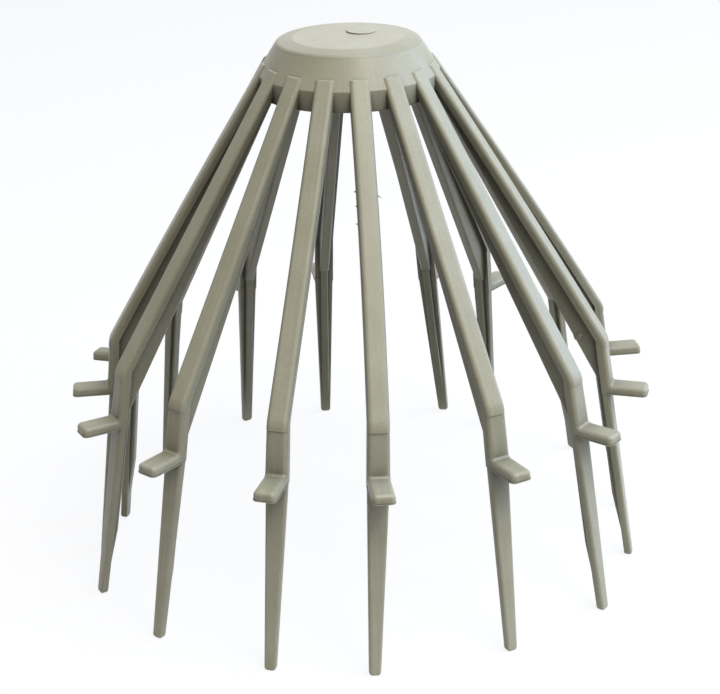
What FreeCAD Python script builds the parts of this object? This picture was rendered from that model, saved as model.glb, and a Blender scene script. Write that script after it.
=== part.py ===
import FreeCAD, Part
import math
import os

# Downpipe leaf filter, moulded in one piece: a hollow conical cap that carries a cage of T-section ribs.
# Millimetres, +Z up. The origin is on the cap's axis, in the plane of the feet. The first rib is at -Y.

Vector = FreeCAD.Vector

# Cap: a flat disc, a ring that falls away to a rounded rim, a cone at the ribs' slant and a band below it
HEIGHT = 100.4
CAP_TOP_R = 12.75
DISC_R = 10.2
RING_FALL = 0.5
RIM_ROUND = 0.8
CONE_DEPTH = 6.1
BAND_DEPTH = 3.8
CAP_WALL = 1.8

# Plain round boss on the disc, where the plastic was fed into the mould
BOSS_R = 2.6
BOSS_RISE = 0.25
BOSS_X = 2.9
BOSS_Y = 4.6

# Ribs: a slanted upper run to the kink, then a run that leans out a little all the way to the foot
RIB_COUNT = 16
SLANT = 32.6
LEG_LEAN = 9.3
RIB_TOP_DEPTH = 4.25
RIB_PROUD = 0.3
KINK_Z = 43.8
FLANGE_THICK = 1.6
FLANGE_TOP_W = 3.7
FLANGE_KINK_W = 3.9
EDGE_ROUND = 0.6

# Collar below the kink, a little wider than the run above, and its tab that rests on the outlet's rim
COLLAR_W = 4.05
TAB_Z = 34.3
TAB_LENGTH = 6.5
TAB_THICK = 1.7
TAB_ROOT_ROUND = 0.9
TAB_END_ROUND = 0.9

# Leg under the tab, stepped in all round, tapered to a foot with rounded corners and bent a little sideways
LEG_STEP = 0.5
LEG_TOP_W = 3.85
LEG_TIP_W = 2.1
LEG_THICK = 1.5
LEG_BEND = -1.0
FOOT_ROUND = 0.5
TOE_ROUND = 0.7

# Web behind the flange: deeper from the cap to its own kink, shallow on the leg, running out above the foot
WEB_THICK = 2.1
WEB_TOP_DEPTH = 0.4
WEB_KINK_Z = 37.2
LEG_WEB_THICK = 1.6
LEG_WEB_DEPTH = 0.95
WEB_RUNOUT_Z = 13.0
WEB_END_Z = 4.4

# The thin ribs don't stand evenly. Each rib's sideways lean and outward splay in degrees, going round
# anticlockwise as seen from above, from the rib at -Y. A lean is towards the next rib.
RIB_SETS = (
    (-2.4, -0.1), (0.0, -0.2), (0.4, 0.8), (0.5, -0.6), (-0.4, -0.8), (3.0, 1.0), (3.6, 0.0), (-2.1, 1.4),
    (1.0, 0.5), (-1.2, 1.2), (-0.5, 0.0), (5.0, -4.2), (1.5, -2.1), (-1.5, -0.1), (-2.0, 0.0), (-0.6, -0.1),
)

AXIS = Vector(0, 0, 1)
slant = math.radians(SLANT)
leg_lean = math.radians(LEG_LEAN)
rib_top_z = HEIGHT - RIB_TOP_DEPTH
cone_foot_z = HEIGHT - CONE_DEPTH
band_foot_z = cone_foot_z - BAND_DEPTH
tab_top_z = TAB_Z + TAB_THICK
tab_middle_z = TAB_Z + TAB_THICK / 2
flange_run = FLANGE_THICK / math.cos(slant)


def cone_r(z):
    """Radius of the cap's cone at height z, carried on below the cap."""
    return CAP_TOP_R + (HEIGHT - z) * math.tan(slant)


def rib_outer_r(z, splay):
    """Radius of a rib's outer face at height z, moved out by its splay from the rib's top down."""
    splayed = (rib_top_z - z) * math.tan(math.radians(splay))
    slanted = cone_r(max(z, KINK_Z)) + RIB_PROUD / math.cos(slant)
    return splayed + slanted + max(KINK_Z - z, 0) * math.tan(leg_lean)


def same(a, b):
    return math.isclose(a, b, abs_tol=1e-6)


def closed_face(points):
    return Part.Face(Part.makePolygon(points + points[:1]))


def plate(points, width):
    """Outline of (r, z) points in the rib's own plane, thickened equally to both sides of it."""
    return closed_face([Vector(r, -width / 2, z) for r, z in points]).extrude(Vector(0, width, 0))


def turned(points):
    """Solid of revolution about the cap's axis from an outline of (r, z) points."""
    return closed_face([Vector(r, 0, z) for r, z in points]).revolve(Vector(), AXIS, 360)


def rounded(shape, radius, test):
    """The shape with those edges rounded whose two end points pass the test."""
    chosen = [edge for edge in shape.Edges if test(*[vertex.Point for vertex in edge.Vertexes])]
    return shape.makeFillet(radius, chosen)


def run_between(top, foot):
    """Flat-sided run between two level rectangles, each given as (z, inner r, outer r, width)."""
    top_z, top_in, top_out, top_w = top
    foot_z, foot_in, foot_out, foot_w = foot
    run = Part.makeWedge(foot_in, foot_z, -foot_w / 2, -top_w / 2, top_in,
                         foot_out, top_z, foot_w / 2, top_w / 2, top_out)
    run.rotate(Vector(), Vector(1, 0, 0), 90)
    return run


def soft_run(outer, thick, top, foot):
    """Run of one thickness with its outer face at radius outer(z), that face's long edges rounded.
    The run's ends are given as (z, width)."""
    def level(z, width):
        return z, outer(z) - thick, outer(z), width

    def on_long_edge(a, b):
        return not same(a.z, b.z) and same(a.x, outer(a.z)) and same(b.x, outer(b.z))

    return rounded(run_between(level(*top), level(*foot)), EDGE_ROUND, on_long_edge)


def cap_outside():
    rim_z = HEIGHT - RING_FALL
    cone_foot_r = cone_r(cone_foot_z)
    rim_r = cone_r(rim_z)
    body = turned([(0, HEIGHT), (DISC_R, HEIGHT), (rim_r, rim_z), (cone_foot_r, cone_foot_z),
                   (cone_foot_r, band_foot_z), (0, band_foot_z)])
    rim = [edge for edge in body.Edges if all(same(vertex.Z, rim_z) for vertex in edge.Vertexes)]
    body = body.makeFillet(RIM_ROUND, rim)
    boss = Part.makeCylinder(BOSS_R, CAP_WALL + BOSS_RISE, Vector(BOSS_X, BOSS_Y, HEIGHT - CAP_WALL))
    return body.fuse(boss)


def cap_hollow():
    """Space inside the cap, carried on down as the clear middle of the cage."""
    wall_run = CAP_WALL / math.cos(slant)
    ceiling_z = HEIGHT - RING_FALL - CAP_WALL
    mouth_r = cone_r(cone_foot_z) - CAP_WALL
    turn_z = cone_foot_z - (wall_run - CAP_WALL) / math.tan(slant)
    return turned([(0, ceiling_z), (cone_r(ceiling_z) - wall_run, ceiling_z), (mouth_r, turn_z),
                   (mouth_r, KINK_Z), (0, KINK_Z)])


def tab(outer):
    """Tab with a rounded end and soft upper edges, and the hollow round where it meets the collar."""
    root_r = outer(TAB_Z) - flange_run
    end_r = outer(TAB_Z) + TAB_LENGTH
    bar = plate([(root_r, TAB_Z), (end_r, TAB_Z), (end_r, tab_top_z), (root_r, tab_top_z)], COLLAR_W)

    def at_end_corner(a, b):
        return same(a.x, end_r) and same(b.x, end_r) and same(a.y, b.y)

    def on_upper_rim(a, b):
        return same(a.z, tab_top_z) and same(b.z, tab_top_z) and not (same(a.x, root_r) and same(b.x, root_r))

    bar = rounded(bar, TAB_END_ROUND, at_end_corner).common(rounded(bar, EDGE_ROUND, on_upper_rim))
    back_r = outer(tab_top_z) - flange_run / 2
    front_r = outer(tab_top_z) + TAB_ROOT_ROUND
    round_z = tab_top_z + TAB_ROOT_ROUND
    gusset = plate([(back_r, tab_middle_z), (front_r, tab_middle_z), (front_r, round_z), (back_r, round_z)],
                   COLLAR_W - 2 * EDGE_ROUND)
    round_side = Vector(front_r, -COLLAR_W / 2, round_z)
    hollow = Part.makeCylinder(TAB_ROOT_ROUND, COLLAR_W, round_side, Vector(0, 1, 0))
    return bar.fuse(gusset.cut(hollow))


def tapered_leg(outer):
    """Leg with soft outer edges and a foot with rounded corners. Its upper end is buried in the tab."""
    def face_r(z):
        return outer(z) - LEG_STEP

    def at_sole(a, b):
        return same(a.z, 0) and same(b.z, 0)

    def along_side(a, b):
        return at_sole(a, b) and same(a.y, b.y)

    def along_toe(a, b):
        return at_sole(a, b) and same(a.x, face_r(0)) and same(b.x, face_r(0))

    leg = soft_run(face_r, LEG_THICK, (tab_middle_z, LEG_TOP_W), (0, LEG_TIP_W))
    front = run_between((tab_middle_z, 0, face_r(0), LEG_TOP_W), (0, 0, face_r(0), LEG_TIP_W))
    side = plate([(0, 0), (face_r(0), 0), (face_r(tab_middle_z), tab_middle_z), (0, tab_middle_z)], LEG_TOP_W)
    leg = leg.common(rounded(front, FOOT_ROUND, along_side))
    return leg.common(rounded(side, TOE_ROUND, along_toe))


def webs(outer):
    """Upper web behind the slanted flange and the collar, and lower web behind the leg."""
    def middle(z):
        return outer(z) - flange_run / 2

    def leg_edge(z):
        return outer(z) - flange_run - LEG_WEB_DEPTH / math.cos(leg_lean)

    leg_back = outer(WEB_END_Z) - LEG_STEP - LEG_THICK
    top_edge = outer(band_foot_z) - flange_run - WEB_TOP_DEPTH / math.cos(slant)
    upper = plate([(middle(rib_top_z), rib_top_z), (middle(KINK_Z), KINK_Z), (middle(WEB_KINK_Z), WEB_KINK_Z),
                   (leg_edge(WEB_KINK_Z), WEB_KINK_Z), (top_edge, band_foot_z)], WEB_THICK)
    lower = plate([(middle(WEB_KINK_Z), WEB_KINK_Z), (middle(WEB_END_Z), WEB_END_Z), (leg_back, WEB_END_Z),
                   (leg_edge(WEB_RUNOUT_Z), WEB_RUNOUT_Z), (leg_edge(WEB_KINK_Z), WEB_KINK_Z)], LEG_WEB_THICK)
    return upper, lower


def rib(lean, splay):
    """One rib in the XZ plane, leaned about its top end."""
    def outer(z):
        return rib_outer_r(z, splay)

    upper_web, lower_web = webs(outer)
    flange = soft_run(outer, flange_run, (rib_top_z, FLANGE_TOP_W), (KINK_Z, FLANGE_KINK_W))
    collar = soft_run(outer, flange_run, (KINK_Z, COLLAR_W), (TAB_Z, COLLAR_W))
    leg = tapered_leg(outer).fuse(lower_web)
    leg.rotate(Vector(outer(TAB_Z), 0, TAB_Z), Vector(1, 0, 0), LEG_BEND)
    shape = flange.fuse([upper_web, collar, tab(outer), leg])
    shape.rotate(Vector(outer(rib_top_z), 0, rib_top_z), Vector(1, 0, 0), lean)
    return shape


ribs = []
for index in range(RIB_COUNT):
    one_rib = rib(*RIB_SETS[index % len(RIB_SETS)])
    one_rib.rotate(Vector(), AXIS, index * 360 / RIB_COUNT - 90)
    ribs.append(one_rib)

leaf_filter = cap_outside().fuse(ribs).cut(cap_hollow()).removeSplitter()
print("valid", leaf_filter.isValid(), "solids", len(leaf_filter.Solids), "volume", leaf_filter.Volume)

os.makedirs("parts", exist_ok=True)
leaf_filter.exportStep("parts/leaf_filter.step")
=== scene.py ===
import math

import bmesh
import bpy
from mathutils import Matrix, Vector


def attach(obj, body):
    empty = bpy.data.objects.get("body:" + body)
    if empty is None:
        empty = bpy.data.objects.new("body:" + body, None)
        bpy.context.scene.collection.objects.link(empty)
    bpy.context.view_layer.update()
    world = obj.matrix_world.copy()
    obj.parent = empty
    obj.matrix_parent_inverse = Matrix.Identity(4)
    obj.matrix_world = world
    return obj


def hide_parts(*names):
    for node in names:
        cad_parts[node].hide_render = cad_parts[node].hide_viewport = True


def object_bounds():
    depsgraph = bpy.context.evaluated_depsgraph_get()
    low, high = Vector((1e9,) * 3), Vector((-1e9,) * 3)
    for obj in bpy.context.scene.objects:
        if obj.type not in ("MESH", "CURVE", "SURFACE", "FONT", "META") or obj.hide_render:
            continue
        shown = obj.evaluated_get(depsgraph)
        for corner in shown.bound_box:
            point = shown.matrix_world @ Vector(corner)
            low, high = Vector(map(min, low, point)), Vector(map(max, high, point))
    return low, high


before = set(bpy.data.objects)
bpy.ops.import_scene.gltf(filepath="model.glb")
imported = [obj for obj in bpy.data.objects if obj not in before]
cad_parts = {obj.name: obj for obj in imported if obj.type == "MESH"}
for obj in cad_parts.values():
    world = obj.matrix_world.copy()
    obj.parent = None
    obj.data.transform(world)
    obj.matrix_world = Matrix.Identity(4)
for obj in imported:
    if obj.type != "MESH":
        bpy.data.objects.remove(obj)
cad_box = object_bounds()

# Ribs: sixteen thin ribs of polypropylene, each a flat bar stiffened by a web behind it.
# The bar slants down from the cap, bends at a collar with a tab, and runs on as a tapered leg to a rounded foot.
# They came out of the mould in one piece with the cap, and the soft plastic let each of them stand a little askew.

# Sizes are in millimetres, heights start at the feet, and the finished skin is scaled to metres
MM = 0.001
HEIGHT = 100.4
CAP_R = 12.75
SLANT = math.radians(32.6)
LEG_LEAN = math.radians(9.3)
RIB_PROUD = 0.356
RIB_TOP_Z = 96.15
KINK_Z = 43.8
CLOSE = 0.01
EXACT = 0.0001
HARD_EDGE = math.radians(15)
SEGMENTS = 5
WIDE_SEGMENTS = 6
SMALL_SEGMENTS = 2
BACK_SOFT = 0.3


def outer_r(z):
    """Radius of an even rib's outer face: the cap's cone carried down to the kink, then the leg's line."""
    slanted = CAP_R + RIB_PROUD + (HEIGHT - max(z, KINK_Z)) * math.tan(SLANT)
    return slanted + max(KINK_Z - z, 0) * math.tan(LEG_LEAN)


def plate(outline, width):
    """Flat bar from an outline of (r, z) points in the rib's own plane, drawn out equally to both sides of it."""
    body = bmesh.new()
    face = body.faces.new([body.verts.new((r, -width / 2, z)) for r, z in outline])
    drawn = bmesh.ops.extrude_face_region(body, geom=[face])["geom"]
    bmesh.ops.translate(body, vec=(0, width, 0), verts=[v for v in drawn if isinstance(v, bmesh.types.BMVert)])
    bmesh.ops.recalc_face_normals(body, faces=body.faces)
    return body


def soften(body, radius, segments, chosen):
    """Rounds the hard edges that pass the test, which is given an edge's two end points."""
    hard = [edge for edge in body.edges if edge.calc_face_angle(0) > HARD_EDGE]
    hard = [edge for edge in hard if chosen(edge.verts[0].co, edge.verts[1].co)]
    bmesh.ops.bevel(body, geom=hard, offset=radius, segments=segments, profile=0.5, affect="EDGES",
                    clamp_overlap=False, material=-1)


def near(a, b):
    return abs(a - b) < EXACT


def fused(bodies):
    """One closed skin round bodies that run into each other."""
    holders = []
    for body in bodies:
        mesh = bpy.data.meshes.new("body")
        body.to_mesh(mesh)
        body.free()
        holders.append(bpy.data.objects.new("body", mesh))
        bpy.context.scene.collection.objects.link(holders[-1])
    for other in holders[1:]:
        union = holders[0].modifiers.new("union", "BOOLEAN")
        union.operation = "UNION"
        union.solver = "MANIFOLD"
        union.object = other
    skin = bmesh.new()
    skin.from_object(holders[0], bpy.context.evaluated_depsgraph_get())
    for holder in holders:
        mesh = holder.data
        bpy.data.objects.remove(holder)
        bpy.data.meshes.remove(mesh)
    return skin


RUN_TOP_W = 3.7
RUN_KINK_W = 3.9
RUN_DEPTH = 1.9
RUN_SOFT = 0.85
RUN_TOP_SOFT = 0.15
BEND_REACH = 1.2
BEND_ROUND = 0.95


def slanted_run():
    """Bar from the cap to the kink: a soft bend just above the kink, two soft outer edges, a crisp top end."""
    bend_z = KINK_Z + BEND_REACH * math.cos(LEG_LEAN)
    bend_r = outer_r(KINK_Z) - BEND_REACH * math.sin(LEG_LEAN)
    face = [(outer_r(RIB_TOP_Z), RIB_TOP_Z), (bend_r, bend_z), (outer_r(KINK_Z), KINK_Z)]
    run = plate(face + [(r - RUN_DEPTH, z) for r, z in reversed(face)], RUN_KINK_W)
    upper_end = [v for v in run.verts if near(v.co.z, RIB_TOP_Z)]
    bmesh.ops.scale(run, vec=(1, RUN_TOP_W / RUN_KINK_W, 1), verts=upper_end)

    def at_bend(a, b):
        return near(a.x, bend_r) and near(b.x, bend_r)

    def outer_long_edge(a, b):
        outside = min(a.x - outer_r(a.z), b.x - outer_r(b.z)) > -RUN_DEPTH / 2
        return outside and a.y * b.y > 0 and not near(a.z, b.z)

    def top_edge(a, b):
        outside = min(a.x, b.x) > outer_r(RIB_TOP_Z) - RUN_DEPTH / 2
        return outside and near(a.z, RIB_TOP_Z) and near(b.z, RIB_TOP_Z)

    soften(run, BEND_ROUND, WIDE_SEGMENTS, at_bend)
    soften(run, RUN_SOFT, SEGMENTS, outer_long_edge)
    soften(run, RUN_TOP_SOFT, SMALL_SEGMENTS, top_edge)
    return run


COLLAR_W = 4.05
COLLAR_TOP_W = 3.87
COLLAR_TOP_Z = 44.0
COLLAR_SETBACK = 0.05
COLLAR_SOFT = 0.8
TAB_Z = 34.3
TAB_TOP_Z = 36.0
TAB_LENGTH = 6.36
TAB_ROOT_ROUND = 0.5
TAB_END_ROUND = 0.9
TAB_LOWER_SOFT = 0.12


def collar_with_tab():
    """Collar and tab as one bent bar with a hollow round between them, a rounded tab end and soft outer edges."""
    def front_r(z):
        return outer_r(z) - COLLAR_SETBACK

    root_r = front_r(TAB_TOP_Z)
    end_r = outer_r(TAB_Z) + TAB_LENGTH
    bar = plate([(front_r(COLLAR_TOP_Z), COLLAR_TOP_Z), (root_r, TAB_TOP_Z), (end_r, TAB_TOP_Z), (end_r, TAB_Z),
                 (outer_r(TAB_Z) - RUN_DEPTH, TAB_Z), (outer_r(COLLAR_TOP_Z) - RUN_DEPTH, COLLAR_TOP_Z)], COLLAR_W)
    upper_end = [v for v in bar.verts if near(v.co.z, COLLAR_TOP_Z)]
    bmesh.ops.scale(bar, vec=(1, COLLAR_TOP_W / COLLAR_W, 1), verts=upper_end)

    def root(a, b):
        return near(a.x, root_r) and near(b.x, root_r) and near(a.z, b.z)

    def end_corner(a, b):
        return near(a.x, end_r) and near(b.x, end_r) and near(a.y, b.y)

    def outer_rim(a, b):
        across_root = a.y * b.y < 0 and max(a.x, b.x) < end_r - TAB_END_ROUND - COLLAR_SOFT
        level_top = near(a.z, COLLAR_TOP_Z) and near(b.z, COLLAR_TOP_Z)
        behind = min(a.x - outer_r(a.z), b.x - outer_r(b.z)) < -RUN_DEPTH / 2
        return not across_root and not level_top and not behind and min(a.z, b.z) > TAB_Z + CLOSE

    def lower_rim(a, b):
        return near(a.z, TAB_Z) and near(b.z, TAB_Z) and min(a.x, b.x) > outer_r(TAB_Z) - RUN_DEPTH / 2

    soften(bar, TAB_ROOT_ROUND, SEGMENTS, root)
    soften(bar, TAB_END_ROUND, WIDE_SEGMENTS, end_corner)
    soften(bar, COLLAR_SOFT, SEGMENTS, outer_rim)
    soften(bar, TAB_LOWER_SOFT, SMALL_SEGMENTS, lower_rim)
    return bar


FLASH_LIP = 0.1
FLASH_THICK = 0.18


def tab_flash():
    """Thin lip of flash that was squeezed out where the mould closed, round the underside of the tab."""
    end_r = outer_r(TAB_Z) + TAB_LENGTH + FLASH_LIP
    back_r = outer_r(TAB_Z) - RUN_DEPTH / 2
    low, high = TAB_Z + CLOSE, TAB_Z + FLASH_THICK
    lip = plate([(back_r, low), (end_r, low), (end_r, high), (back_r, high)], COLLAR_W + 2 * FLASH_LIP)

    def end_corner(a, b):
        return near(a.x, end_r) and near(b.x, end_r) and near(a.y, b.y)

    soften(lip, TAB_END_ROUND + FLASH_LIP, WIDE_SEGMENTS, end_corner)
    return lip


LEG_TOP_Z = 35.25
LEG_STEP = 0.5
LEG_TOP_W = 3.95
LEG_TIP_W = 2.1
LEG_THICK = 1.5
LEG_SOFT = 0.5
FOOT_ROUND = 0.62


def tapered_leg():
    """Leg under the tab: narrows to a foot with rounded corners, soft all round the outer face."""
    def face_r(z):
        return outer_r(z) - LEG_STEP

    leg = plate([(face_r(LEG_TOP_Z), LEG_TOP_Z), (face_r(0), 0), (face_r(0) - LEG_THICK, 0),
                 (face_r(LEG_TOP_Z) - LEG_THICK, LEG_TOP_Z)], LEG_TOP_W)
    tip = [v for v in leg.verts if near(v.co.z, 0)]
    bmesh.ops.scale(leg, vec=(1, LEG_TIP_W / LEG_TOP_W, 1), verts=tip)

    def foot_side(a, b):
        return near(a.z, 0) and near(b.z, 0) and near(a.y, b.y)

    def outer_rim(a, b):
        return near(a.x, face_r(a.z)) and near(b.x, face_r(b.z)) and not near(a.z + b.z, 2 * LEG_TOP_Z)

    def inner_rim(a, b):
        behind = max(a.x - face_r(a.z), b.x - face_r(b.z)) < CLOSE - LEG_THICK
        return behind and not near(a.z + b.z, 2 * LEG_TOP_Z)

    soften(leg, FOOT_ROUND, SEGMENTS, foot_side)
    soften(leg, LEG_SOFT, SEGMENTS, outer_rim)
    soften(leg, BACK_SOFT, SMALL_SEGMENTS, inner_rim)
    return leg


WEB_W = 2.1
WEB_TOP_Z = 90.5
WEB_TOP_DEPTH = 1.2
WEB_KINK_Z = 37.2
WEB_SOFT = 0.5
WEB_SEGMENTS = 4
LEG_WEB_W = 1.6
LEG_WEB_DEPTH = 0.96
LEG_WEB_RUNOUT_Z = 13.0
LEG_WEB_END_Z = 4.4
LEG_WEB_SEGMENTS = 3


def webs():
    """Upper web behind the slanted bar and the collar, and shallow web behind the leg, with soft inner edges."""
    def middle(z):
        return outer_r(z) - RUN_DEPTH / 2, z

    def leg_edge(z):
        return outer_r(z) - RUN_DEPTH - LEG_WEB_DEPTH, z

    top_edge = (outer_r(WEB_TOP_Z) - RUN_DEPTH - WEB_TOP_DEPTH, WEB_TOP_Z)
    leg_back = (outer_r(LEG_WEB_END_Z) - LEG_STEP - LEG_THICK, LEG_WEB_END_Z)
    upper = plate([middle(RIB_TOP_Z), middle(KINK_Z), middle(WEB_KINK_Z), leg_edge(WEB_KINK_Z), top_edge], WEB_W)
    lower = plate([middle(WEB_KINK_Z), middle(LEG_WEB_END_Z), leg_back, leg_edge(LEG_WEB_RUNOUT_Z),
                   leg_edge(WEB_KINK_Z)], LEG_WEB_W)

    def inner_edge(a, b):
        behind = max(a.x - outer_r(a.z), b.x - outer_r(b.z)) < -RUN_DEPTH / 2 - CLOSE
        return behind and near(a.y, b.y) and not near(a.z, b.z) and max(a.z, b.z) < WEB_TOP_Z + CLOSE

    soften(upper, WEB_SOFT, WEB_SEGMENTS, inner_edge)
    soften(lower, BACK_SOFT, LEG_WEB_SEGMENTS, inner_edge)
    return upper, lower


# The leg bends a little sideways under the tab, and cuts across the rib at every step let its bar bow
LEG_BEND = math.radians(-1.0)
CUT_STEP = 4

upper_web, lower_web = webs()
leg = tapered_leg()
for body in (leg, lower_web):
    bmesh.ops.rotate(body, cent=(0, 0, TAB_Z), matrix=Matrix.Rotation(LEG_BEND, 3, "X"), verts=body.verts)
even_rib = fused([collar_with_tab(), tab_flash(), slanted_run(), upper_web, leg, lower_web])
for level in range(CUT_STEP, int(RIB_TOP_Z), CUT_STEP):
    everything = list(even_rib.verts) + list(even_rib.edges) + list(even_rib.faces)
    bmesh.ops.bisect_plane(even_rib, geom=everything, dist=CLOSE, plane_co=(0, 0, level), plane_no=(0, 0, 1))
rib_mesh = bpy.data.meshes.new("rib")
even_rib.to_mesh(rib_mesh)
even_rib.free()

# How each rib stands, going round anticlockwise from the front one: sideways lean and outward splay in degrees,
# then the sideways bow and the outward belly of the slanted bar in millimetres
RIB_SETS = ((-2.4, -0.1, 0.35, 0.0), (0.0, -0.2, 0.0, 0.0), (0.4, 0.8, 0.0, 0.0), (0.5, -0.6, 0.0, 0.3),
            (-0.4, -0.8, 0.0, 0.5), (3.7, 1.0, 0.0, 0.0), (3.6, 0.0, 0.0, 0.0), (-2.1, 1.4, 0.0, 0.0),
            (1.0, 0.5, 0.0, 0.0), (-1.2, 1.2, 0.0, 0.0), (-0.5, 0.0, 0.0, 0.0), (5.0, -4.2, 0.0, 0.0),
            (1.5, -2.1, 0.0, 0.4), (-1.5, -0.1, 0.0, 0.0), (-2.0, 0.0, 0.0, 0.0), (-0.6, -0.1, 0.1, 0.0))


def stand(body, index):
    """Moves a body from the even rib's plane to where the rib of that number stands."""
    lean, splay, bow, belly = RIB_SETS[index]
    for vertex in body.verts:
        down = RIB_TOP_Z - vertex.co.z
        vertex.co.x += down * math.tan(math.radians(splay))
        vertex.co.x += belly * math.sin(math.pi * min(down / (RIB_TOP_Z - TAB_TOP_Z), 1))
        vertex.co.y += bow * math.sin(math.pi * min(down / (RIB_TOP_Z - KINK_Z), 1))
    sideways = Matrix.Rotation(math.radians(lean), 3, "X")
    bmesh.ops.rotate(body, cent=(0, 0, RIB_TOP_Z), matrix=sideways, verts=body.verts)
    turn = index * math.tau / len(RIB_SETS) - math.pi / 2
    bmesh.ops.rotate(body, cent=(0, 0, 0), matrix=Matrix.Rotation(turn, 3, "Z"), verts=body.verts)


def joined(bodies):
    """Bodies put side by side in one mesh."""
    whole = bmesh.new()
    for body in bodies:
        mesh = bpy.data.meshes.new("joined")
        body.to_mesh(mesh)
        body.free()
        whole.from_mesh(mesh)
        bpy.data.meshes.remove(mesh)
    return whole


ribs = []
for index in range(len(RIB_SETS)):
    rib = bmesh.new()
    rib.from_mesh(rib_mesh)
    stand(rib, index)
    ribs.append(rib)
ribs = joined(ribs)
bpy.data.meshes.remove(rib_mesh)

# Nibs of flash: thin slivers of the same plastic that stand out from the side edges of three ribs.
# They were squeezed into the joint of the mould and were not trimmed off.

NIB_BURIED = 0.3
NIB_SIDES = 8
NIB_TIP = 0.25
# Rib, side (1 towards the next rib), height, depth behind the outer face, length, thickness, droop in degrees
NIBS = ((0, -1, 79.05, 1.1, 0.40, 0.60, 10), (0, -1, 76.80, 1.1, 0.28, 0.50, -15),
        (0, -1, 74.10, 1.1, 0.42, 0.45, -25), (0, 1, 78.40, 0.9, 0.80, 0.34, 35),
        (12, -1, 44.6, 0.9, 0.5, 0.4, 20), (3, -1, 45.3, 4.4, 0.40, 2.4, 0))

nibs = []
for rib_number, side, z, depth, length, thick, droop in NIBS:
    nib = bmesh.new()
    bmesh.ops.create_cone(nib, cap_ends=True, segments=NIB_SIDES, radius1=thick / 2, radius2=NIB_TIP * thick / 2,
                          depth=length + NIB_BURIED)
    bmesh.ops.translate(nib, vec=(0, 0, (length - NIB_BURIED) / 2), verts=nib.verts)
    laid_over = Matrix.Rotation(-side * math.radians(90 + droop), 3, "X")
    bmesh.ops.rotate(nib, cent=(0, 0, 0), matrix=laid_over, verts=nib.verts)
    width = RUN_TOP_W + (RUN_KINK_W - RUN_TOP_W) * (RIB_TOP_Z - z) / (RIB_TOP_Z - KINK_Z)
    half = (width if depth < RUN_DEPTH else WEB_W) / 2
    bmesh.ops.translate(nib, vec=(outer_r(z) - depth, side * half, z), verts=nib.verts)
    stand(nib, rib_number)
    nibs.append(nib)
nibs = joined(nibs)

# Cap: a hollow cone of the same shot of plastic that carries the ribs' upper ends.
# A flat disc lies in a ring that falls away to the rounded rim, and a plain band closes the cone below.
# The low round boss on the disc, a little aslant, is where the plastic was fed in.

DISC_R = 10.2
DISC_Z = 100.4
DISC_ROUND = 0.3
RIM_Z = 99.9
RIM_ROUND = 0.45
CONE_FOOT_Z = 94.3
CONE_FOOT_ROUND = 0.12
BAND_FOOT_Z = 90.5
BAND_FOOT_ROUND = 0.35
CAP_WALL = 1.8
MOUTH_ROUND = 0.3
CAP_STEPS = 128
CAP_SEGMENTS = 4
BOSS_R = 2.75
BOSS_RISE = 0.13
BOSS_HALF = 0.5
BOSS_SOFT = 0.05
BOSS_SIDES = 48
BOSS_SEGMENTS = 3
BOSS_TILT = math.radians(2.2)
BOSS_TILT_AXIS = (-0.5, 0.85, 0)
BOSS_PLACE = (2.85, 3.3)


def cone_r(z):
    return CAP_R + (HEIGHT - z) * math.tan(SLANT)


rim_r = cone_r(RIM_Z)
foot_r = cone_r(CONE_FOOT_Z)
mouth_r = foot_r - CAP_WALL
wall_run = CAP_WALL / math.cos(SLANT)
ceiling_z = RIM_Z - CAP_WALL
hollow_turn_z = CONE_FOOT_Z - (wall_run - CAP_WALL) / math.tan(SLANT)
profile = ((0, DISC_Z), (DISC_R, DISC_Z), (rim_r, RIM_Z), (foot_r, CONE_FOOT_Z), (foot_r, BAND_FOOT_Z),
           (mouth_r, BAND_FOOT_Z), (mouth_r, hollow_turn_z), (cone_r(ceiling_z) - wall_run, ceiling_z),
           (0, ceiling_z))
cap = bmesh.new()
corners = [cap.verts.new((r, 0, z)) for r, z in profile]
sides = [cap.edges.new(pair) for pair in zip(corners, corners[1:])]
bmesh.ops.spin(cap, geom=corners + sides, cent=(0, 0, 0), axis=(0, 0, 1), angle=math.tau, steps=CAP_STEPS,
               use_merge=True)
bmesh.ops.remove_doubles(cap, verts=cap.verts, dist=CLOSE)
bmesh.ops.recalc_face_normals(cap, faces=cap.faces)
for r, z, reach in ((rim_r, RIM_Z, RIM_ROUND), (DISC_R, DISC_Z, DISC_ROUND), (foot_r, CONE_FOOT_Z, CONE_FOOT_ROUND),
                    (foot_r, BAND_FOOT_Z, BAND_FOOT_ROUND), (mouth_r, BAND_FOOT_Z, MOUTH_ROUND)):
    ring = [edge for edge in cap.edges
            if all(near(v.co.z, z) and abs(v.co.xy.length - r) < CLOSE for v in edge.verts)]
    bmesh.ops.bevel(cap, geom=ring, offset=reach, segments=CAP_SEGMENTS, profile=0.5, affect="EDGES",
                    clamp_overlap=False, material=-1)

boss = bmesh.new()
bmesh.ops.create_cone(boss, cap_ends=True, segments=BOSS_SIDES, radius1=BOSS_R, radius2=BOSS_R, depth=2 * BOSS_HALF)
soften(boss, BOSS_SOFT, BOSS_SEGMENTS, lambda a, b: near(a.z, BOSS_HALF) and near(b.z, BOSS_HALF))
bmesh.ops.rotate(boss, cent=(0, 0, 0), matrix=Matrix.Rotation(BOSS_TILT, 3, BOSS_TILT_AXIS), verts=boss.verts)
bmesh.ops.translate(boss, vec=(*BOSS_PLACE, DISC_Z + BOSS_RISE - BOSS_HALF), verts=boss.verts)

# The moulding: cap and ribs as one closed skin of stone-grey polypropylene, shot in one go and left as it came out.
# It takes the place of the plain solid.

SMOOTH_BELOW = math.radians(38)

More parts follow.
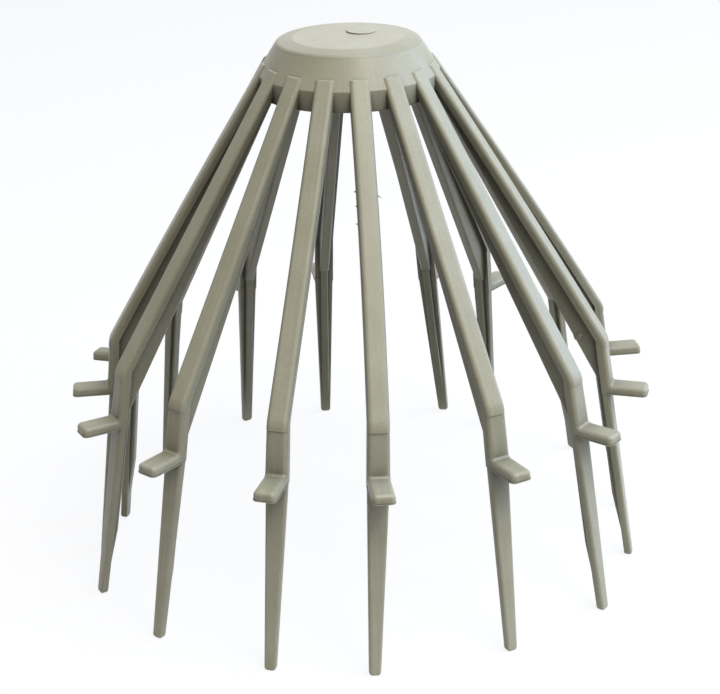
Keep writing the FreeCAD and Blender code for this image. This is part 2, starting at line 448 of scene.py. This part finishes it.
moulding = fused([cap, boss, ribs, nibs])
bmesh.ops.scale(moulding, vec=(MM, MM, MM), verts=moulding.verts)
for face in moulding.faces:
    face.smooth = True
moulding_mesh = bpy.data.meshes.new("leaf_filter_moulding")
moulding.to_mesh(moulding_mesh)
moulding.free()
moulding_mesh.set_sharp_from_angle(angle=SMOOTH_BELOW)
leaf_filter = bpy.data.objects.new("leaf_filter_moulding", moulding_mesh)
bpy.context.scene.collection.objects.link(leaf_filter)
evened = leaf_filter.modifiers.new("even_shading", "WEIGHTED_NORMAL")
evened.keep_sharp = True
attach(leaf_filter, "root")
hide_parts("leaf_filter")


def linear(hex_colour):
    """sRGB hex colour as linear red, green, blue and alpha."""
    channels = [int(hex_colour[i:i + 2], 16) / 255 for i in (0, 2, 4)]
    return [c / 12.92 if c <= 0.04045 else ((c + 0.055) / 1.055) ** 2.4 for c in channels] + [1.0]


def add(tree, kind, inputs, **settings):
    """A new node with its settings. An input is a value, or the output socket that feeds it."""
    made = tree.nodes.new(kind)
    for name, value in settings.items():
        setattr(made, name, value)
    for name, value in inputs.items():
        if isinstance(value, bpy.types.NodeSocket):
            tree.links.new(value, made.inputs[name])
        else:
            made.inputs[name].default_value = value
    return made


# Pattern sizes in millimetres. The grain and the freckle are drawn coarser than the real grain, so that they show.
CLOUD = 8.0
STREAK_WIDTH = 0.5
STREAK_LENGTH = 25.0
LEG_RING_R = 50.0
PAINTED_SHADE_REACH = 45.0
FRECKLE = 0.6
EDGE = 0.3
DISC_BLEND = 0.2
DISC_DEPTH = 1.0
GRAIN = 0.4
GRAIN_DEPTH = 0.05
PIGMENT = ((0.3, "C6C0A0"), (0.7, "D1CBAE"))
# Tones multiply the pigment's colour: the range of a reading, then the tone at its low and at its high end
STREAK_TONE = (0.3, 0.7, 0.95, 1.04)
# The next tone is painted shade, deepest in corners and inside the cage
PAINTED_SHADE_TONE = (0.5, 1.0, 0.2, 1.0)
FRECKLE_TONE = (0.3, 0.7, 0.965, 1.03)
# The last tone is a painted highlight on sharp edges
PAINTED_EDGE_HIGHLIGHT_TONE = (0.75, 0.98, 1.45, 1.0)
RING_TONE = "F2F2F2"
DISC_TONE = (1.06, 1.05, 1.09, 1.0)


def moulded_polypropylene():
    """Polypropylene as it leaves a spark-eroded mould: satin, finely grained, cloudy, streaked along the flow, with
    painted shade and highlights.
    """
    material = bpy.data.materials.new("moulded_stone_grey_polypropylene")
    material.use_nodes = True
    tree = material.node_tree
    tree.nodes.clear()
    place = add(tree, "ShaderNodeTexCoord", {}).outputs["Object"]
    axes = add(tree, "ShaderNodeSeparateXYZ", {"Vector": place})

    # The pigment is a little cloudy
    cloud = add(tree, "ShaderNodeTexNoise", {"Vector": place, "Scale": 1 / (CLOUD * MM), "Detail": 3.0})
    pigment = add(tree, "ShaderNodeValToRGB", {"Fac": cloud.outputs["Fac"]})
    for mark, (position, colour) in zip(pigment.color_ramp.elements, PIGMENT):
        mark.position = position
        mark.color = linear(colour)

    # Faint streaks lie along the flow, which fanned out from the boss down every rib
    angle = add(tree, "ShaderNodeMath", {0: axes.outputs["Y"], 1: axes.outputs["X"]}, operation="ARCTAN2")
    fan = add(tree, "ShaderNodeCombineXYZ", {"X": angle.outputs[0], "Y": axes.outputs["Z"]})
    spacing = (LEG_RING_R / STREAK_WIDTH, 1 / (STREAK_LENGTH * MM), 0.0)
    stretch = add(tree, "ShaderNodeVectorMath", {0: fan.outputs[0], 1: spacing}, operation="MULTIPLY")
    streaks = add(tree, "ShaderNodeTexNoise", {"Vector": stretch.outputs[0], "Scale": 1.0, "Detail": 2.0})

    # Painted shade: corners, the band between the ribs and the inside of the cage are darkened in the colour by
    # ambient occlusion
    painted_shade = add(tree, "ShaderNodeAmbientOcclusion", {"Distance": PAINTED_SHADE_REACH * MM}, only_local=True, samples=8)

    # The grain freckles the skin
    freckle = add(tree, "ShaderNodeTexNoise", {"Vector": place, "Scale": 1 / (FRECKLE * MM), "Detail": 2.0})

    # Painted highlight: sharp edges and flash are made paler than the faces, as where they catch the light
    flat = add(tree, "ShaderNodeNewGeometry", {})
    soft = add(tree, "ShaderNodeBevel", {"Radius": EDGE * MM}, samples=4)
    painted_edge_highlight = add(tree, "ShaderNodeVectorMath", {0: flat.outputs["Normal"], 1: soft.outputs["Normal"]},
                 operation="DOT_PRODUCT")

    colour = pigment.outputs["Color"]
    for reading, (low, high, low_tone, high_tone) in (
            (streaks.outputs["Fac"], STREAK_TONE), (painted_shade.outputs["AO"], PAINTED_SHADE_TONE),
            (freckle.outputs["Fac"], FRECKLE_TONE), (painted_edge_highlight.outputs["Value"], PAINTED_EDGE_HIGHLIGHT_TONE)):
        tone = add(tree, "ShaderNodeMapRange", {"Value": reading, "From Min": low, "From Max": high,
                                                "To Min": low_tone, "To Max": high_tone})
        colour = add(tree, "ShaderNodeVectorMath", {0: colour, 1: tone.outputs[0]}, operation="MULTIPLY").outputs[0]

    # The disc on the cap is a little paler than the ring round it
    level = add(tree, "ShaderNodeVectorMath", {0: place, 1: (1, 1, 0)}, operation="MULTIPLY")
    from_axis = add(tree, "ShaderNodeVectorMath", {0: level.outputs[0]}, operation="LENGTH")
    within = add(tree, "ShaderNodeMapRange", {"Value": from_axis.outputs["Value"], "To Min": 1.0, "To Max": 0.0,
                                              "From Min": (DISC_R - DISC_BLEND) * MM,
                                              "From Max": (DISC_R + DISC_BLEND) * MM})
    on_top = add(tree, "ShaderNodeMath", {0: axes.outputs["Z"], 1: (DISC_Z - DISC_DEPTH) * MM},
                 operation="GREATER_THAN")
    disc = add(tree, "ShaderNodeMath", {0: within.outputs[0], 1: on_top.outputs[0]}, operation="MULTIPLY")
    ring_tone = add(tree, "ShaderNodeMix", {"Factor": on_top.outputs[0], 6: linear("FFFFFF"), 7: linear(RING_TONE)},
                    data_type="RGBA")
    top_tone = add(tree, "ShaderNodeMix", {"Factor": disc.outputs[0], 6: ring_tone.outputs[2], 7: DISC_TONE},
                   data_type="RGBA")
    colour = add(tree, "ShaderNodeVectorMath", {0: colour, 1: top_tone.outputs[2]}, operation="MULTIPLY").outputs[0]

    # The spark-eroded grain breaks up the gloss
    grain = add(tree, "ShaderNodeTexNoise", {"Vector": place, "Scale": 1 / (GRAIN * MM), "Detail": 2.0})
    bump = add(tree, "ShaderNodeBump", {"Height": grain.outputs["Fac"], "Strength": 0.3,
                                        "Distance": GRAIN_DEPTH * MM})
    skin = add(tree, "ShaderNodeBsdfPrincipled", {"Base Color": colour, "Roughness": 0.33, "IOR": 1.49,
                                                  "Specular IOR Level": 0.4, "Normal": bump.outputs["Normal"]})
    add(tree, "ShaderNodeOutputMaterial", {"Surface": skin.outputs["BSDF"]})
    return material


moulding_mesh.materials.append(moulded_polypropylene())

# Studio: a white floor that runs out of sight, with the faint shadows that the feet throw on it.
# To the camera floor and background are white, and on the object the floor throws back only part of the light.

FLOOR_HALF = 3.0
FLOOR_GLOW = 0.87
FLOOR_LIT = 0.2
# Painted shadow and pool of light on the floor: the share of the light that the floor throws back on the object, at
# a distance from the axis in metres, is painted low inside the ring of feet, where the object's shade falls, and
# high in a painted pool round it
PAINTED_POOL_REACH = 0.2
PAINTED_POOL = ((0.046, 0.05), (0.060, 0.78), (0.095, 0.78), (0.180, 0.2))
WORLD_LIGHT = 0.03


def to_the_eye(tree):
    """1 for rays that make the picture and its reflections, 0 for those that carry light to the object."""
    path = add(tree, "ShaderNodeLightPath", {})
    mirrored = add(tree, "ShaderNodeMath", {0: path.outputs["Is Camera Ray"], 1: path.outputs["Is Glossy Ray"]},
                   operation="MAXIMUM")
    seen = add(tree, "ShaderNodeMath", {0: mirrored.outputs[0], 1: path.outputs["Is Transmission Ray"]},
               operation="MAXIMUM")
    return seen.outputs[0]


floor_mesh = bpy.data.meshes.new("floor")
sheet = bmesh.new()
bmesh.ops.create_grid(sheet, x_segments=1, y_segments=1, size=FLOOR_HALF)
bmesh.ops.translate(sheet, verts=sheet.verts, vec=(0, 0, cad_box[0][2]))
sheet.to_mesh(floor_mesh)
sheet.free()
floor = bpy.data.objects.new("floor", floor_mesh)
bpy.context.scene.collection.objects.link(floor)

paper = bpy.data.materials.new("white_paper")
paper.use_nodes = True
tree = paper.node_tree
tree.nodes.clear()
glow = add(tree, "ShaderNodeEmission", {"Color": linear("FFFFFF"), "Strength": FLOOR_GLOW})
lit = add(tree, "ShaderNodeBsdfDiffuse", {"Color": [FLOOR_LIT, FLOOR_LIT, FLOOR_LIT, 1]})
shown = add(tree, "ShaderNodeAddShader", {0: glow.outputs[0], 1: lit.outputs[0]})
place = add(tree, "ShaderNodeTexCoord", {}).outputs["Object"]
level = add(tree, "ShaderNodeVectorMath", {0: place, 1: (1 / PAINTED_POOL_REACH, 1 / PAINTED_POOL_REACH, 0)}, operation="MULTIPLY")
from_axis = add(tree, "ShaderNodeVectorMath", {0: level.outputs[0]}, operation="LENGTH")
# Painted shadow and pool of light in the floor's bounce colour
painted_pool = add(tree, "ShaderNodeValToRGB", {"Fac": from_axis.outputs["Value"]})
for stop, (radius, share) in enumerate(PAINTED_POOL):
    mark = painted_pool.color_ramp.elements[stop] if stop < 2 else painted_pool.color_ramp.elements.new(radius / PAINTED_POOL_REACH)
    mark.position = radius / PAINTED_POOL_REACH
    mark.color = [share, share, share, 1]
bounce = add(tree, "ShaderNodeBsdfDiffuse", {"Color": painted_pool.outputs["Color"]})
mixed = add(tree, "ShaderNodeMixShader", {"Fac": to_the_eye(tree), 1: bounce.outputs[0], 2: shown.outputs[0]})
add(tree, "ShaderNodeOutputMaterial", {"Surface": mixed.outputs[0]})
floor_mesh.materials.append(paper)

world = bpy.data.worlds.new("white_studio")
bpy.context.scene.world = world
world.use_nodes = True
tree = world.node_tree
tree.nodes.clear()
white = add(tree, "ShaderNodeBackground", {"Color": linear("FFFFFF"), "Strength": 1.0})
dim = add(tree, "ShaderNodeBackground", {"Color": linear("FFF4E4"), "Strength": WORLD_LIGHT})
mixed = add(tree, "ShaderNodeMixShader", {"Fac": to_the_eye(tree), 1: dim.outputs[0], 2: white.outputs[0]})
add(tree, "ShaderNodeOutputWorld", {"Surface": mixed.outputs[0]})

MIDDLE = Vector((0, 0, 0.05))
# Name, place in metres, size in metres, power in watts, colour
SOFTBOXES = (("overhead_softbox", (0.1, -0.03, 0.84), 0.5, 2.8, "EAF2FF"),
             ("front_softbox", (0.19, -0.44, 0.73), 0.3, 1.75, "FFF9EC"),
             ("front_right_softbox", (0.45, -0.35, 0.62), 0.4, 0.9, "ECF2FF"),
             ("right_softbox", (0.51, -0.05, 0.66), 0.4, 2.0, "B4D0FF"),
             ("rim_softbox", (0.76, 0.16, 0.24), 0.4, 2.2, "B4D0FF"))

for name, spot, size, power, colour in SOFTBOXES:
    lamp = bpy.data.lights.new(name, "AREA")
    lamp.shape = "SQUARE"
    lamp.size = size
    lamp.energy = power
    lamp.color = linear(colour)[:3]
    softbox = bpy.data.objects.new(name, lamp)
    softbox.location = spot
    softbox.rotation_euler = (MIDDLE - Vector(spot)).to_track_quat("-Z", "Y").to_euler()
    bpy.context.scene.collection.objects.link(softbox)

# Camera: a short tele lens a little above the cap, looking down at the cage.
# It stands slightly to the left of the front rib and is rolled by a degree and a half.

LENS_PIXELS = 1812.87
IMAGE_WIDTH = 720
SENSOR = 36.0
DISTANCE = 353.03
LIFT = math.radians(22.93)
TURN = math.radians(6.71)
ROLL = math.radians(1.49)
AIM = (0.713, 0, 39.02)

about_axis = Matrix.Rotation(-TURN, 3, "Z")
aim = about_axis @ (Vector(AIM) * MM)
back = about_axis @ Vector((0, -math.cos(LIFT), math.sin(LIFT)))
camera_data = bpy.data.cameras.new("camera")
camera_data.sensor_width = SENSOR
camera_data.lens = LENS_PIXELS / IMAGE_WIDTH * SENSOR
camera = bpy.data.objects.new("camera", camera_data)
camera.matrix_world = (Matrix.Translation(aim + DISTANCE * MM * back)
                       @ back.to_track_quat("Z", "Y").to_matrix().to_4x4() @ Matrix.Rotation(-ROLL, 4, "Z"))
bpy.context.scene.collection.objects.link(camera)
bpy.context.scene.camera = camera
bpy.context.scene.view_settings.view_transform = "Standard"
